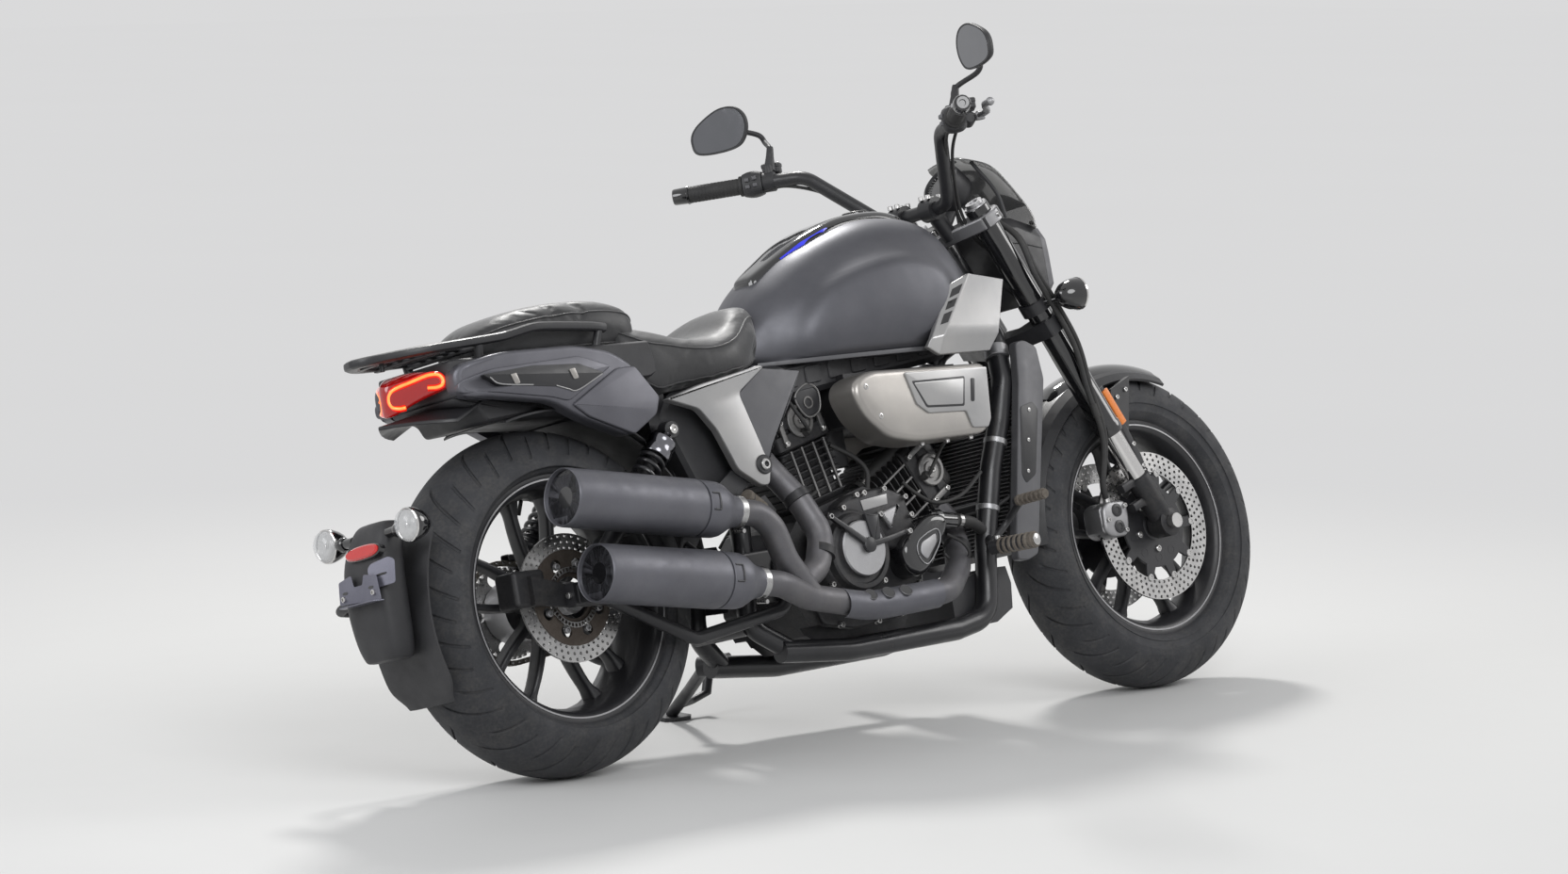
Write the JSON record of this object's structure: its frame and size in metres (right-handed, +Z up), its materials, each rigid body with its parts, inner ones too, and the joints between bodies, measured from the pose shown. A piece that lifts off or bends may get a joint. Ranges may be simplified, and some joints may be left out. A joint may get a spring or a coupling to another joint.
{
  "type": "cruiser motorcycle",
  "caption": "Cruiser motorcycle with an open V-twin engine, stacked mufflers on its right and a rear rack, leaning on its side stand.",
  "frame": {"origin": "centre of the footprint of the bounding box, on the floor, with the machine leaning on its side stand", "axes": "+X forward, +Y to the rider's left, +Z up from the floor"},
  "size_m": [2.33, 0.9686, 1.3887],
  "materials": {
    "alloy": "cast alloy, clear coated",
    "bare_steel": "ground steel",
    "black_metal": "satin black powder coat",
    "black_plastic": "moulded black plastic",
    "clear_lens": "clear lamp lens",
    "exhaust": "matte heat-proof dark grey",
    "gloss_black": "gloss black plastic",
    "grey_plastic": "painted grey plastic",
    "red_lens": "red lamp lens",
    "rubber": "grip rubber",
    "seat_cover": "black seat leather",
    "silver_trim": "silver painted trim",
    "smoked_screen": "smoked screen",
    "tank_paint": "matte metallic gunmetal",
    "tyre": "ribbed road tyre with blue-grey sidewalls"
  },
  "bodies": {
    "chassis": {"airbox": "black_plastic", "airbox_covers": "silver_trim", "belly_pan": "black_plastic", "crankcase": "black_metal", "cylinders": "black_metal", "drive_chain": "bare_steel", "engine_covers": "alloy", "exhaust_pipes": "exhaust", "foot_pegs": "rubber", "frame": "black_metal", "fuel_tank": "tank_paint", "luggage_rack": "black_metal", "muffler_hanger": "black_metal", "mufflers": "exhaust", "passenger_seat": "seat_cover", "plate_carrier": "black_plastic", "radiator_core": "black_metal", "radiator_shrouds": "grey_plastic", "rear_axle": "bare_steel", "rear_caliper": "alloy", "rear_indicators": "black_plastic", "rider_seat": "seat_cover", "shocks": "black_metal", "side_covers": "silver_trim", "swingarm": "alloy", "tail_deck": "black_plastic", "tail_lamp": "red_lens", "tail_panels": "grey_plastic", "tank_console": "gloss_black", "tank_scoops": "silver_trim"},
    "steering": {"steering_clamps": "black_metal", "fork_legs": "black_metal", "front_axle": "bare_steel", "handlebar": "black_metal", "grips": "rubber", "bar_controls": "black_plastic", "mirrors": "black_plastic", "headlight_shell": "black_plastic", "headlight_lens": "clear_lens", "fly_screen": "smoked_screen", "instrument": "black_plastic", "front_indicators": "clear_lens", "front_fender": "black_plastic", "front_calipers": "alloy"},
    "front_wheel": {"front_tyre": "tyre", "front_rim": "black_metal", "front_discs": "bare_steel"},
    "rear_wheel": {"rear_tyre": "tyre", "rear_rim": "black_metal", "rear_disc": "bare_steel", "rear_sprocket": "bare_steel"},
    "side_stand": {"side_stand": "black_metal"},
    "fuel_cap": {"fuel_cap": "gloss_black"}
  },
  "joints": [
    {"name": "steering_turn", "type": "hinge", "parent": "chassis", "child": "steering", "pos_m": [0.51353, -0.06721, 0.80634], "axis": [-0.4797, 0.2196, 0.8495], "range_deg": [-35, 35]},
    {"name": "front_wheel_spin", "type": "hinge", "parent": "steering", "child": "front_wheel", "pos_m": [0.83998, -0.1937, 0.31709], "axis": [-0.0001, 0.9681, -0.2504], "continuous": true},
    {"name": "rear_wheel_spin", "type": "hinge", "parent": "chassis", "child": "rear_wheel", "pos_m": [-0.72502, -0.19345, 0.31895], "axis": [-0.0001, 0.9681, -0.2504], "continuous": true},
    {"name": "side_stand_fold", "type": "hinge", "parent": "chassis", "child": "side_stand", "pos_m": [-0.22013, -0.07753, 0.13581], "axis": [-0.4613, 0.8749, -0.1473], "range_deg": [0, 139.4]},
    {"name": "fuel_cap_lid", "type": "hinge", "parent": "chassis", "child": "fuel_cap", "pos_m": [0.26836, -0.01893, 0.99317], "axis": [-0.0001, 0.9681, -0.2504], "range_deg": [0, 85]}
  ]
}
